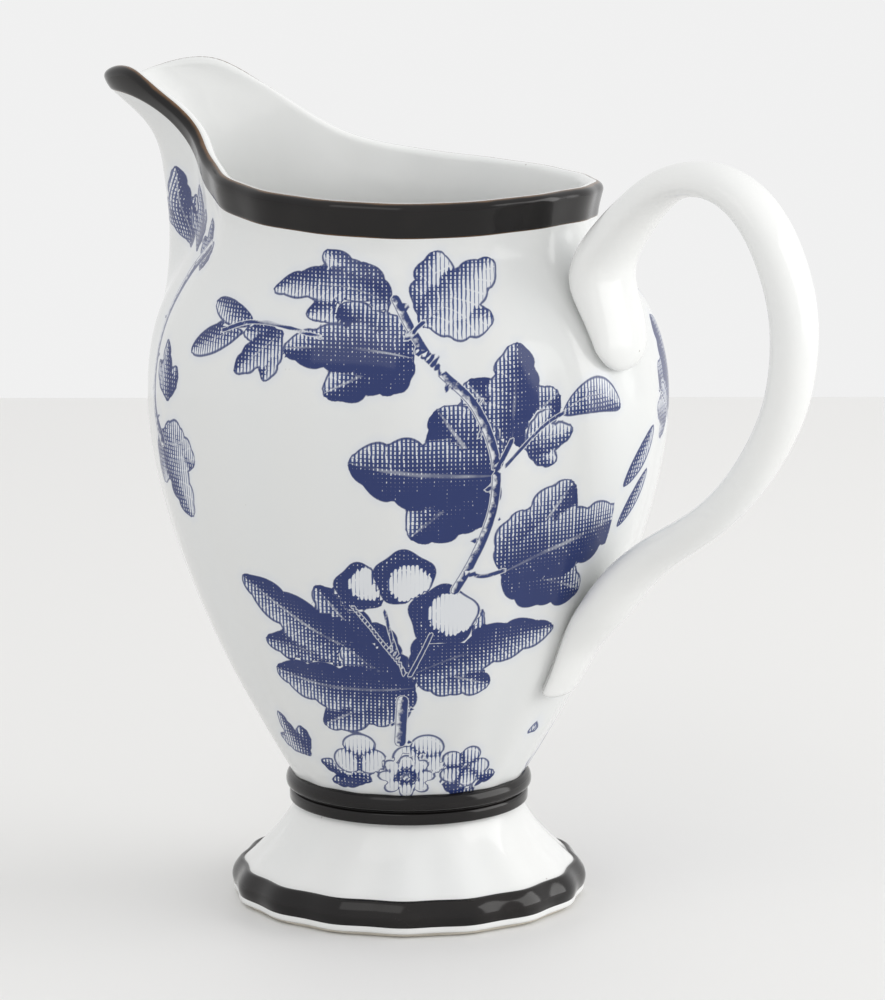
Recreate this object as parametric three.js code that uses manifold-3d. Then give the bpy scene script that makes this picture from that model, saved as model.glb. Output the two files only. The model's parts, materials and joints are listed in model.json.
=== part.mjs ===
// Porcelain cream jug on a spreading foot, with a high swept spout and a loop handle.
// Millimetres, +Z up. The origin is on the table, midway between the spout's tip and the handle's back.
// The handle points along +X and the spout along -X, so the jug is the same on both sides of y = 0.
// Every shape is first made about the upright axis of the body, and the whole jug is moved along X last.
import * as THREE from 'three';
import { mergeVertices } from 'three/addons/utils/BufferGeometryUtils.js';
import Module from 'manifold-3d';

// ---- driving sizes ----
// heights above the table
const rimHeight = 120;
const neckHeight = 113.5;
const bellyHeight = 85.5;
const collarTop = 21.2;
const collarHeight = 4.7;
const footEdgeHeight = 5.8;
const whiteEdgeHeight = 1.5;
const unglazedHeight = 0.6;
// radii, measured to the ridges between the panels; the collar's roll stands out from the waist
const rimRadius = 32;
const neckRadius = 30.9;
const bellyRadius = 42.8;
const waistRadius = 19.6;
const collarStand = 0.8;
const footEdgeRadius = 29.6;
// walls
const wall = 2.6;
const floorThickness = 4;
const footWall = 3.4;
// panels: how many, and how deep their middles lie below the ridges, as a share of the radius
const panelCount = 16;
const bodyPanelDepth = 0.011;
const footPanelDepth = 0.019;
// spout
const spoutReach = 59.7;
const spoutRise = 16.4;
const tipDip = 3.4;
const lipBend = 3.0;
const spoutHalfAngle = 17;
const spoutRootAngle = 25;
const spoutSharpness = 3.2;
// black enamel
const enamel = 0.5;
const rimBandWidth = 5.4;
const spoutBandWidth = 3.2;
const crestShare = 0.65;
const lipRounding = 0.4;
// collar mouldings, below the radius of the fat roll
const hubInset = 1.8;
const lowerBandInset = 0.7;
const grooveInset = 1.1;
// foot: how far its skin lies inside the enamelled bead, and the hollow under it
const flareInset = 1.6;
const flareBow = 0.9;
const footRingInset = 1.3;
// handle, a strap whose half sizes are given across its thickness and across its width
const handleReach = 77.5;
const handleTop = 126.8;
const tongueLow = 90.5;
const tailLow = 38;
const strapHalfThickness = 3.3;
const strapHalfWidth = 4.6;
const tongueHalfWidth = 6.8;
const tailHalfWidth = 5.8;
// joints
const slipThickness = 0.7;
const slipMargin = 0.8;
const gap = 0.3;

// mesh fineness
const roundSteps = 96;
const spoutCrowding = 0.5;
const wallRows = 15;
const handleSides = 16;
const handleSteps = 48;

// ---- smooth curve through given points, as a function of the first number ----
function smoothThrough(points, startSlope, endSlope) {
  const n = points.length;
  const slopes = new Array(n).fill(0);
  slopes[0] = startSlope;
  slopes[n - 1] = endSlope;
  const step = (i) => points[i + 1][0] - points[i][0];
  const rate = (i) => (points[i + 1][1] - points[i][1]) / step(i);
  // the slopes that make the bend continuous at every point, found by repeated sweeps
  for (let sweep = 0; sweep < 60; sweep++) {
    for (let i = 1; i < n - 1; i++) {
      const before = 1 / step(i - 1);
      const after = 1 / step(i);
      const pull = 3 * (rate(i - 1) * before + rate(i) * after);
      slopes[i] = (pull - before * slopes[i - 1] - after * slopes[i + 1]) / (2 * (before + after));
    }
  }
  return (x) => {
    if (x <= points[0][0]) return points[0][1] + startSlope * (x - points[0][0]);
    if (x >= points[n - 1][0]) return points[n - 1][1] + endSlope * (x - points[n - 1][0]);
    let i = 0;
    while (x > points[i + 1][0]) i++;
    const t = (x - points[i][0]) / step(i);
    const start = points[i][1] * (1 + 2 * t) * (1 - t) ** 2 + slopes[i] * step(i) * t * (1 - t) ** 2;
    const end = points[i + 1][1] * t * t * (3 - 2 * t) - slopes[i + 1] * step(i) * t * t * (1 - t);
    return start + end;
  };
}

const share = (from, to, t) => from + (to - from) * t;
const degrees = (radians) => radians * 180 / Math.PI;

// ---- outer shape of the vessel ----
const bodyBase = collarTop + gap;
const lower = (t, s) => [share(bodyBase, bellyHeight, t), share(waistRadius, bellyRadius, s)];
const shoulder = (t, s) => [share(bellyHeight, neckHeight, t), share(bellyRadius, neckRadius, s)];
// the rim keeps a share of the lean that the wall has between neck and rim
const rimSlope = 0.6 * (rimRadius - neckRadius) / (rimHeight - neckHeight);
const bodyRadius = smoothThrough([
  lower(0, 0), lower(0.14, 0.225), lower(0.3, 0.46), lower(0.45, 0.645), lower(0.6, 0.8),
  lower(0.78, 0.935), lower(1, 1), shoulder(0.27, 0.085), shoulder(0.52, 0.33),
  shoulder(0.77, 0.75), shoulder(1, 1), [rimHeight, rimRadius],
], 0.62, rimSlope);

// the front line of the spout, from the belly up to the tip of the lip; it turns upright there
// with a soft bend, so the lip's cheeks stand over the tip
const tipHeight = rimHeight + spoutRise - tipDip;
const lipReach = spoutReach + lipBend / 4;
const breast = (t, s) => [share(bellyHeight, tipHeight, t), share(bellyRadius, lipReach, s)];
const frontRise = smoothThrough([
  breast(0, 0), breast(0.3, 0.1), breast(0.55, 0.2), breast(0.72, 0.29), breast(0.88, 0.52),
  breast(1, 1),
], 0.05, 1.4);

function spoutFront(z) {
  const below = THREE.MathUtils.clamp(0.5 + 0.5 * (lipReach - frontRise(z)) / lipBend, 0, 1);
  return share(lipReach, frontRise(z), below) - lipBend * below * (1 - below);
}

// how much of the spout is felt at an angle from its middle: 1 in the middle, 0 round the back
function spoutShare(offMiddle, z) {
  const up = THREE.MathUtils.clamp((z - bellyHeight) / (rimHeight - bellyHeight), 0, 1);
  const halfAngle = share(spoutRootAngle, spoutHalfAngle, up);
  return 1 / (1 + (offMiddle / halfAngle) ** spoutSharpness);
}

// angle in degrees away from the middle of the spout, which points along -X
const offSpout = (angle) => Math.abs(180 - degrees(angle));

function outerRadius(angle, z) {
  const spout = spoutShare(offSpout(angle), z);
  const reach = z > bellyHeight ? Math.max(spoutFront(z) - bodyRadius(z), 0) : 0;
  const panel = bodyPanelDepth * (1 - spout) * (1 + Math.cos(panelCount * angle)) / 2;
  return bodyRadius(z) * (1 - panel) + reach * spout;
}

// the top edge: level round the handle side, then an S up to the spout, dipping again at the tip
const rimRise = smoothThrough([
  [0, spoutRise - tipDip], [5, spoutRise - 0.65 * tipDip], [10, spoutRise - 0.12 * tipDip],
  [14.5, spoutRise * 0.98], [20, spoutRise * 0.71], [28, spoutRise * 0.41], [40, spoutRise * 0.21],
  [58, spoutRise * 0.085], [90, 0], [130, -spoutRise * 0.04], [180, 0],
], 0, 0);
const rimLine = (angle) => rimHeight + rimRise(offSpout(angle));

// the band is wide round the mouth and narrow along the spout
function bandWidth(angle) {
  const nearSpout = THREE.MathUtils.smoothstep(60 - offSpout(angle), 0, 45);
  return share(rimBandWidth, spoutBandWidth, nearSpout);
}

function outerPoint(angle, z) {
  const radius = outerRadius(angle, z);
  return new THREE.Vector3(radius * Math.cos(angle), radius * Math.sin(angle), z);
}

// a point at a height on the outside, moved inwards through the wall by a depth
function wallPoint(angle, z, depth) {
  const step = 0.002;
  const point = outerPoint(angle, z);
  const along = outerPoint(angle + step, z).sub(outerPoint(angle - step, z));
  const up = outerPoint(angle, z + 0.05).sub(outerPoint(angle, z - 0.05));
  const outwards = along.cross(up).normalize();
  return point.addScaledVector(outwards, -depth);
}

// ---- turning a profile of stations into a closed skin ----
// Each station gives the point of the profile at an angle. The lathe supplies the closed net.
function skin(stations, steps = roundSteps, crowding = spoutCrowding) {
  const net = new THREE.LatheGeometry(stations.map((_, i) => new THREE.Vector2(1, i)), steps);
  const places = net.getAttribute('position');
  for (let column = 0; column <= steps; column++) {
    // columns crowd together towards the spout, where the shape turns fastest
    const even = 2 * Math.PI * column / steps;
    const angle = even + crowding * Math.sin(even);
    stations.forEach((station, row) => {
      const point = station(column === steps ? 0 : angle);
      places.setXYZ(column * stations.length + row, point.x, point.y, point.z);
    });
  }
  return plain(net);
}

function plain(geometry) {
  geometry.deleteAttribute('normal');
  geometry.deleteAttribute('uv');
  const merged = mergeVertices(geometry, 1e-4);
  // triangles that close up to nothing on the axis are left out
  const corners = merged.index.array;
  const kept = [];
  for (let i = 0; i < corners.length; i += 3) {
    const [a, b, c] = corners.slice(i, i + 3);
    if (a !== b && b !== c && c !== a) kept.push(a, b, c);
  }
  merged.setIndex(kept);
  return merged;
}

const onAxis = (z) => () => new THREE.Vector3(0, 0, z);
const turned = (radius, z, panelDepth = 0) => (angle) => {
  const r = radius * (1 - panelDepth * (1 + Math.cos(panelCount * angle)) / 2);
  return new THREE.Vector3(r * Math.cos(angle), r * Math.sin(angle), z);
};
// a point of the wall at a distance below the top edge
const belowRim = (down, depth) => (angle) => wallPoint(angle, rimLine(angle) - down, depth);
const belowBand = (extra, depth) => (angle) => belowRim(bandWidth(angle) + extra, depth)(angle);
// a point of the wall at a share of the way from the base to the lower edge of the band
const upWall = (t, base, depth) => (angle) => {
  const top = rimLine(angle) - bandWidth(angle) - gap;
  return wallPoint(angle, share(base, top, t), depth);
};
const rows = (count, make) => Array.from({ length: count }, (_, i) => make(i / (count - 1)));

// ---- solids for joining and cutting ----
const wasm = await Module();
wasm.setup();

function solid(geometry) {
  const merged = plain(geometry);
  return new wasm.Manifold(new wasm.Mesh({
    numProp: 3,
    vertProperties: new Float32Array(merged.getAttribute('position').array),
    triVerts: new Uint32Array(merged.index.array),
  }));
}

function geometryOf(manifold) {
  const mesh = manifold.getMesh();
  const geometry = new THREE.BufferGeometry();
  geometry.setAttribute('position', new THREE.BufferAttribute(mesh.vertProperties, 3));
  geometry.setIndex(new THREE.BufferAttribute(mesh.triVerts, 1));
  return geometry;
}

// ---- vessel body: the cast wall with its spout, and the floor inside ----
const bareWall = enamel + gap;
// how deep into the wall the enamel reaches over the crest
const crestEdge = wall * crestShare;
const floorTop = bodyBase + floorThickness;

function vesselBody() {
  const underBand = [
    belowBand(gap, bareWall),
    belowRim(1.5, bareWall),
    belowRim(bareWall + 0.1, wall / 2),
    belowRim(bareWall + 0.1, crestEdge + gap),
    belowRim(0.15, crestEdge + gap),
    belowRim(0.4, wall - 0.15),
    belowRim(1.2, wall),
  ];
  const inside = rows(wallRows - 2, (t) => upWall(1 - t, floorTop - 0.5, wall));
  const floorRadius = bodyRadius(floorTop) - wall;
  return skin([
    onAxis(bodyBase),
    turned(waistRadius - 0.5, bodyBase),
    ...rows(wallRows, (t) => upWall(t, bodyBase + 0.5 * (1 - t), 0)),
    ...underBand,
    ...inside,
    turned(floorRadius - 2, floorTop),
    onAxis(floorTop),
  ]);
}

// ---- rim band: the enamel skin round the outside of the rim and over the crest of the wall ----
function rimBand() {
  return skin([
    belowBand(0, 0),
    belowRim(1.1, 0),
    belowRim(lipRounding, lipRounding),
    belowRim(0, wall / 2),
    belowRim(0.1, crestEdge),
    belowRim(enamel + 0.1, crestEdge),
    belowRim(enamel, wall / 2),
    belowRim(1.3, enamel),
    belowBand(0, enamel),
    belowBand(0, 0),
  ]);
}

// ---- waist collar: a fat roll over a flatter band, round the neck of the foot ----
const hubRadius = waistRadius - hubInset;
const collarRadius = waistRadius + collarStand;

function waistCollar() {
  const bottom = collarTop - collarHeight;
  const rollMiddle = collarTop - collarHeight * 0.26;
  const groove = collarTop - collarHeight * 0.56;
  return skin([
    turned(hubRadius + gap, bottom),
    turned(collarRadius - 1.2, bottom),
    turned(collarRadius - lowerBandInset, bottom + 0.5),
    turned(collarRadius - lowerBandInset, groove - 0.7),
    turned(collarRadius - grooveInset, groove),
    turned(collarRadius - 0.3, rollMiddle - 0.9),
    turned(collarRadius, rollMiddle),
    turned(collarRadius - 0.2, rollMiddle + 0.7),
    turned(collarRadius - 0.8, collarTop),
    turned(hubRadius + gap, collarTop),
    turned(hubRadius + gap, bottom),
  ], 64, 0);
}

// ---- spreading foot: a hollow cone with a hub that carries the body ----
function spreadingFoot() {
  const hubFoot = collarTop - collarHeight - gap;
  const edgeTop = footEdgeHeight + gap;
  const edgeRadius = footEdgeRadius - flareInset;
  const flare = (t) => {
    const bow = -flareBow * Math.sin(Math.PI * t);
    return turned(share(waistRadius - 0.9, edgeRadius, t) + bow, share(hubFoot, edgeTop, t),
      footPanelDepth * Math.min(1, 2 * t));
  };
  const recess = footEdgeRadius - enamel - gap - 0.3;
  return skin([
    onAxis(hubFoot - footWall),
    turned(waistRadius - footWall - 3, hubFoot - footWall),
    turned(waistRadius - footWall + 0.2, hubFoot - footWall - 1.5),
    turned(footEdgeRadius - footWall - flareInset, unglazedHeight + gap + 1.2),
    turned(footEdgeRadius - footWall - 0.6, unglazedHeight + gap),
    turned(footEdgeRadius - 1.2, unglazedHeight + gap, footPanelDepth),
    turned(footEdgeRadius - 0.4, unglazedHeight + gap + 0.3, footPanelDepth),
    turned(footEdgeRadius - 0.4, whiteEdgeHeight - gap, footPanelDepth),
    turned(recess - 0.6, whiteEdgeHeight - gap, footPanelDepth),
    turned(recess - 0.2, share(whiteEdgeHeight, footEdgeHeight, 0.5), footPanelDepth),
    turned(edgeRadius - 1.2, edgeTop, footPanelDepth),
    ...rows(6, (t) => flare(1 - t)),
    turned(hubRadius, hubFoot),
    turned(hubRadius, collarTop),
    onAxis(collarTop),
  ], 64, 0);
}

// ---- foot edge band: the black enamelled bead round the edge of the foot ----
function footEdgeBand() {
  const middle = share(whiteEdgeHeight, footEdgeHeight, 0.55);
  const inner = footEdgeRadius - enamel - 0.3;
  return skin([
    turned(footEdgeRadius - 0.9, whiteEdgeHeight, footPanelDepth),
    turned(footEdgeRadius - 0.25, whiteEdgeHeight + 0.6, footPanelDepth),
    turned(footEdgeRadius, middle, footPanelDepth),
    turned(footEdgeRadius - 0.5, middle + 1.1, footPanelDepth),
    turned(footEdgeRadius - 1.5, footEdgeHeight, footPanelDepth),
    turned(footEdgeRadius - 2.1, footEdgeHeight, footPanelDepth),
    turned(inner, middle + 0.3, footPanelDepth),
    turned(inner - 0.35, whiteEdgeHeight, footPanelDepth),
    turned(footEdgeRadius - 0.9, whiteEdgeHeight, footPanelDepth),
  ], 64, 0);
}

// ---- foot ring: the narrow unglazed face that the jug stands on ----
function footRing() {
  const outer = footEdgeRadius - footRingInset;
  const inner = footEdgeRadius - footWall - 0.4;
  return skin([
    turned(inner, 0),
    turned(outer, 0, footPanelDepth),
    turned(outer, unglazedHeight, footPanelDepth),
    turned(inner, unglazedHeight),
    turned(inner, 0),
  ], 64, 0);
}

// ---- handle: a strap swept along a loop in the plane y = 0 ----
// Its upper end lies on the shoulder as a tongue, and its tail lies on the lower body.
const onBody = (z, outwards) => new THREE.Vector3(outerRadius(0, z) + outwards, 0, z);
const reachTop = handleTop - strapHalfThickness;
const reachOut = handleReach - strapHalfThickness;
const attachTop = outerRadius(0, neckHeight);
const loop = (out, up) => new THREE.Vector3(
  share(attachTop, reachOut, out), 0, share(tailLow, reachTop, up));
const handleLine = new THREE.CatmullRomCurve3([
  onBody(tongueLow, -0.9),
  onBody(share(tongueLow, neckHeight, 0.2), 0),
  onBody(share(tongueLow, neckHeight, 0.42), 1.4),
  onBody(share(tongueLow, neckHeight, 0.64), 3.4),
  onBody(share(tongueLow, neckHeight, 0.82), 6.6),
  loop(0.245, 0.884), loop(0.335, 0.936), loop(0.45, 0.982), loop(0.6, 1), loop(0.735, 0.985),
  loop(0.86, 0.932), loop(0.945, 0.855), loop(0.99, 0.775), loop(0.995, 0.69), loop(0.965, 0.605),
  loop(0.89, 0.52), loop(0.78, 0.44), loop(0.62, 0.365), loop(0.44, 0.305), loop(0.3, 0.245),
  onBody(share(tailLow, bellyHeight, 0.33), 3.6),
  onBody(share(tailLow, bellyHeight, 0.19), 1.1),
  onBody(share(tailLow, bellyHeight, 0.09), 0.9),
  onBody(tailLow, 0.7),
], false, 'centripetal');
handleLine.arcLengthDivisions = 800;

// half sizes along the strap, by the share of its length
const halfWidthAt = smoothThrough([
  [0, tongueHalfWidth * 0.72], [0.06, tongueHalfWidth], [0.13, tongueHalfWidth * 0.96],
  [0.24, strapHalfWidth * 1.08], [0.36, strapHalfWidth], [0.75, strapHalfWidth],
  [0.9, tailHalfWidth], [1, tailHalfWidth * 0.82],
], 0, 0);
const halfThicknessAt = smoothThrough([
  [0, strapHalfThickness * 1.1], [0.08, strapHalfThickness * 1.25], [0.2, strapHalfThickness],
  [0.45, strapHalfThickness * 1.06], [0.75, strapHalfThickness * 0.92],
  [1, strapHalfThickness * 0.9],
], 0, 0);

// the strap, made fatter all over by a margin; its tongue end is rounded off like a fingertip
function strap(margin) {
  const net = new THREE.CylinderGeometry(1, 1, 1, handleSides, handleSteps);
  const places = net.getAttribute('position');
  const sideways = new THREE.Vector3(0, 1, 0);
  const roundEnd = 0.035;
  for (let i = 0; i < places.count; i++) {
    const along = 0.5 - places.getY(i);
    // steps crowd towards both ends, and the tongue end closes in a round tip
    const eased = share(along, along * along * (3 - 2 * along), 0.35);
    const tip = Math.min(eased / roundEnd, 1);
    const closing = share(0.25, 1, Math.sqrt(1 - (1 - tip) ** 2));
    const centre = handleLine.getPointAt(eased);
    const forwards = handleLine.getTangentAt(eased);
    const outwards = new THREE.Vector3().crossVectors(forwards, sideways).negate();
    const across = places.getX(i);
    const over = places.getZ(i);
    // the inner face is flatter than the outer one, with a soft edge where they meet
    const flatter = over < 0 ? 0.82 : 1;
    const thick = (halfThicknessAt(eased) * closing + margin) * flatter;
    const wide = halfWidthAt(eased) * closing + margin;
    centre.addScaledVector(outwards, over * thick);
    centre.addScaledVector(sideways, -across * wide);
    places.setXYZ(i, centre.x, centre.y, centre.z);
  }
  return solid(net);
}

// the space that the vessel fills, grown outwards, for cutting the handle ends to the wall
function grownBody(growth) {
  return solid(skin([
    onAxis(bodyBase - growth - 1),
    ...rows(22, (t) => (angle) => wallPoint(angle, share(bodyBase, rimHeight + 1, t), -growth)),
    onAxis(rimHeight + 1 + growth),
  ], 72, 0));
}

function loopHandle() {
  return geometryOf(strap(0).subtract(grownBody(2 * gap + slipThickness)));
}

// ---- the two joints: slip squeezed between the handle's ends and the wall ----
function slipJoints() {
  const layer = grownBody(gap + slipThickness).subtract(grownBody(gap));
  return strap(slipMargin).intersect(layer).decompose()
    .filter((piece) => piece.volume() > 1)
    .sort((a, b) => b.boundingBox().max[2] - a.boundingBox().max[2]);
}

// ---- materials and assembly ----
const whiteGlaze = { color: '#f1f1ee', roughness: 0.12, metalness: 0 };
const blackEnamel = { color: '#141213', roughness: 0.14, metalness: 0 };
const bareBiscuit = { color: '#e4ded2', roughness: 0.75, metalness: 0 };

const jug = new THREE.Group();

function add(name, geometry, finish) {
  const mesh = new THREE.Mesh(geometry, new THREE.MeshStandardMaterial(finish));
  mesh.name = name;
  jug.add(mesh);
}

add('vessel_body', vesselBody(), whiteGlaze);
add('rim_band', rimBand(), blackEnamel);
add('waist_collar', waistCollar(), blackEnamel);
add('spreading_foot', spreadingFoot(), whiteGlaze);
add('foot_edge_band', footEdgeBand(), blackEnamel);
add('foot_ring', footRing(), bareBiscuit);
add('loop_handle', loopHandle(), whiteGlaze);
slipJoints().forEach((piece, i) => {
  add(['handle_upper_joint', 'handle_lower_joint'][i], geometryOf(piece), whiteGlaze);
});

// the origin goes midway along the whole length
const whole = new THREE.Box3().setFromObject(jug);
const middle = (whole.min.x + whole.max.x) / 2;
jug.children.forEach((piece) => piece.geometry.translate(-middle, 0, 0));

export default jug;
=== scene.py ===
# %% [markdown]
# # A porcelain cream jug
#
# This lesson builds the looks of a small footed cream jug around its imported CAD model. The jug has a
# softly panelled body with a high swept spout, a black enamelled rim, collar and foot edge, a loop
# handle, and a blue spray of leaves printed under the glaze.
#
# The CAD model says where everything is. Its solids are faceted and have a hair's gap between them.
# So the pieces here are made again by the same rules, but finely and closed up, and each one stands
# for the CAD nodes that it covers.

# %% Load the frame
import json
import math
import bpy
import numpy as np
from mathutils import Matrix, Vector

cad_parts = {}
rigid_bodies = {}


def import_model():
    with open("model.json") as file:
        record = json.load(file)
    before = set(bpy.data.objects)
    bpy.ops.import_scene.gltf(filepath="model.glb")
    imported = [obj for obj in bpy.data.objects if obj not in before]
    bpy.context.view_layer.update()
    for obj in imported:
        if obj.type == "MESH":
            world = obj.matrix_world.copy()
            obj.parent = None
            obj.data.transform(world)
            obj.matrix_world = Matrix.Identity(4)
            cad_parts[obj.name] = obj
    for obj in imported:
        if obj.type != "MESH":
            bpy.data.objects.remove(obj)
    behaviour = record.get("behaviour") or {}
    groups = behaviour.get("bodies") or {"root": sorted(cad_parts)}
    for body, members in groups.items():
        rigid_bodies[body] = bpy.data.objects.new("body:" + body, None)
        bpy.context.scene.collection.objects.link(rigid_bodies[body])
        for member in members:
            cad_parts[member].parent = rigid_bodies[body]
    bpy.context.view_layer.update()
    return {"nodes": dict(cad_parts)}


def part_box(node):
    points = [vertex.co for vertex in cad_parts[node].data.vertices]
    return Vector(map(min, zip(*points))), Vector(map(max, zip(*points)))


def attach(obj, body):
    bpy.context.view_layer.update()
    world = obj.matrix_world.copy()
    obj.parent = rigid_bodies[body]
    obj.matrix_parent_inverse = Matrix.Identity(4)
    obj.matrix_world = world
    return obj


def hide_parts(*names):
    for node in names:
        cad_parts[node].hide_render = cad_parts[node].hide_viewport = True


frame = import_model()
mm = 0.001
print("CAD nodes:", sorted(frame["nodes"]))

# %% [markdown]
# ## Sizes
#
# A few sizes come from the boxes of the CAD nodes: where the axis stands, how high and wide the collar
# is, how high the foot's edge and ring are, how far the spout rises and reaches, and how far out and
# how high the handle goes. The rest are the finer sizes of the design, such as wall thickness and
# panel depth. All are in millimetres, measured from the upright axis of the body, which runs through
# the collar.

# %% Sizes
def low(node):
    return np.array(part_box(node)[0]) / mm


def high(node):
    return np.array(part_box(node)[1]) / mm


axis_x = (low("waist_collar")[0] + high("waist_collar")[0]) / 2
panel_count = 16
body_panel_depth = 0.011
foot_panel_depth = 0.019

collar_top = high("waist_collar")[2]
collar_low = low("waist_collar")[2]
collar_radius = (high("waist_collar")[0] - low("waist_collar")[0]) / 2
waist_radius = collar_radius - 0.8
foot_edge_top = high("foot_edge_band")[2]
white_edge_top = low("foot_edge_band")[2]
foot_edge_radius = 29.6
foot_ring_top = high("foot_ring")[2]

gap = 0.3
body_base = collar_top + gap
belly_height = 85.5
belly_radius = 42.8
neck_height = 113.5
neck_radius = 30.9
rim_height = 120.0
rim_radius = 32.0
wall = 2.6
floor_thickness = 4.0

spout_rise = high("rim_band")[2] - rim_height
spout_reach = axis_x - low("rim_band")[0]
tip_dip = 3.4
lip_bend = 3.0
rim_band_width = 5.4
spout_band_width = 4.8
tip_band_width = 2.3
print(f"axis at x = {axis_x:.2f} mm, spout {spout_rise:.1f} mm up and {spout_reach:.1f} mm out")

# %% [markdown]
# ## The shape of the body
#
# A thrower would call it a baluster: a narrow waist, a wide belly, a neck and a slightly flaring rim.
# It could be a surface of revolution with the spout sculpted on, but here the wall follows a rule
# instead: the radius is a function of angle and height. That keeps the panels, the spout and the
# wall's thickness exact, and lets any point of the wall be asked for by angle and height.

# %% A smooth curve through a few points
def smooth_through(points, start_slope, end_slope):
    x, y = np.array(points, float).T
    step = np.diff(x)
    rate = np.diff(y) / step
    size = len(x)
    matrix = np.eye(size)
    target = np.zeros(size)
    target[0], target[-1] = start_slope, end_slope
    for i in range(1, size - 1):
        matrix[i, i - 1:i + 2] = 1 / step[i - 1], 2 / step[i - 1] + 2 / step[i], 1 / step[i]
        target[i] = 3 * (rate[i - 1] / step[i - 1] + rate[i] / step[i])
    slope = np.linalg.solve(matrix, target)

    def curve(at):
        at = np.asarray(at, float)
        i = np.clip(np.searchsorted(x, at) - 1, 0, size - 2)
        t = np.clip((at - x[i]) / step[i], 0, 1)
        start = y[i] * (1 + 2 * t) * (1 - t) ** 2 + slope[i] * step[i] * t * (1 - t) ** 2
        end = y[i + 1] * t * t * (3 - 2 * t) - slope[i + 1] * step[i] * t * t * (1 - t)
        before = np.minimum(at - x[0], 0) * start_slope
        after = np.maximum(at - x[-1], 0) * end_slope
        return start + end + before + after

    return curve


def share(start, end, t):
    return start + (end - start) * t


def smoothstep(t):
    t = np.clip(t, 0, 1)
    return t * t * (3 - 2 * t)


# %% The profile of the wall and the front line of the spout
lower_steps = [(0, 0), (0.14, 0.225), (0.3, 0.46), (0.45, 0.645), (0.6, 0.8), (0.78, 0.935), (1, 1)]
shoulder_steps = [(0.27, 0.085), (0.52, 0.33), (0.77, 0.75), (1, 1)]
profile = [(share(body_base, belly_height, t), share(waist_radius, belly_radius, s))
           for t, s in lower_steps]
profile += [(share(belly_height, neck_height, t), share(belly_radius, neck_radius, s))
            for t, s in shoulder_steps]
profile += [(rim_height, rim_radius)]
body_radius = smooth_through(profile, 0.62, 0.1)

tip_height = rim_height + spout_rise - tip_dip
lip_reach = spout_reach + lip_bend / 4
breast_steps = [(0, 0), (0.3, 0.1), (0.55, 0.2), (0.72, 0.29), (0.88, 0.52), (1, 1)]
front_rise = smooth_through(
    [(share(belly_height, tip_height, t), share(belly_radius, lip_reach, s)) for t, s in breast_steps],
    0.05, 1.4)


def spout_front(z):
    below = np.clip(0.5 + 0.5 * (lip_reach - front_rise(z)) / lip_bend, 0, 1)
    return share(lip_reach, front_rise(z), below) - lip_bend * below * (1 - below)


# %% The rule of the outer wall
spout_half_angle, spout_root_angle, spout_sharpness = 17, 25, 3.2


def off_spout(angle):
    turn = np.degrees(angle) % 360
    return np.abs(180 - turn)


def spout_share(angle, z):
    up = np.clip((z - belly_height) / (rim_height - belly_height), 0, 1)
    half = share(spout_root_angle, spout_half_angle, up)
    return 1 / (1 + (off_spout(angle) / half) ** spout_sharpness)


def outer_radius(angle, z):
    spout = spout_share(angle, z)
    reach = np.where(z > belly_height, np.maximum(spout_front(z) - body_radius(z), 0), 0)
    panel = body_panel_depth * (1 - spout) * (1 + np.cos(panel_count * angle)) / 2
    return body_radius(z) * (1 - panel) + reach * spout


rise_steps = [(0, 1 - tip_dip / spout_rise), (5, 1 - 0.65 * tip_dip / spout_rise),
              (10, 1 - 0.12 * tip_dip / spout_rise), (14.5, 0.98), (20, 0.71), (28, 0.41),
              (40, 0.21), (58, 0.085), (90, 0), (130, -0.04), (180, 0)]
rim_rise = smooth_through([(a, s * spout_rise) for a, s in rise_steps], 0, 0)


def rim_line(angle):
    return rim_height + rim_rise(off_spout(angle))


def band_width(angle):
    near = smoothstep((60 - off_spout(angle)) / 45)
    tip = smoothstep((15 - off_spout(angle)) / 13)
    return share(share(rim_band_width, spout_band_width, near), tip_band_width, tip)


def outer_point(angle, z):
    radius = outer_radius(angle, z)
    return np.stack([radius * np.cos(angle), radius * np.sin(angle), z + 0 * angle], -1)


small_turn, small_rise = 0.002, 0.05


def wall_point(angle, z, depth):
    """A point of the outer wall, moved inwards through the wall by a depth."""
    angle, z = np.broadcast_arrays(np.asarray(angle, float), np.asarray(z, float))
    along = outer_point(angle + small_turn, z) - outer_point(angle - small_turn, z)
    up = outer_point(angle, z + small_rise) - outer_point(angle, z - small_rise)
    outwards = np.cross(along, up)
    outwards /= np.linalg.norm(outwards, axis=-1, keepdims=True)
    return outer_point(angle, z) - outwards * np.asarray(depth, float)[..., None]


print(f"belly {2 * float(outer_radius(np.array(0.2), np.array(belly_height))):.1f} mm across")

# %% [markdown]
# ## Making a mesh from rows of points
#
# Each turned or cast piece is a net: rows of points from bottom to top, each row once round the axis.
# A helper joins the rows into quads and closes the poles, so that the outside faces out and nothing
# is left open.

# %% A closed net
def new_object(name, points, faces):
    mesh = bpy.data.meshes.new(name)
    placed = (np.asarray(points, float) + [axis_x, 0, 0]) * mm
    mesh.from_pydata(placed.tolist(), [], faces)
    mesh.update()
    mesh.shade_smooth()
    made = bpy.data.objects.new(name, mesh)
    bpy.context.scene.collection.objects.link(made)
    return made


def net_faces(row_count, columns):
    row = np.arange(row_count - 1)[:, None] * columns
    column = np.arange(columns)[None, :]
    nxt = (column + 1) % columns
    a, b, c, d = row + column, row + nxt, row + columns + nxt, row + columns + column
    return np.stack([a, b, c, d], -1).reshape(-1, 4).tolist()


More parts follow.
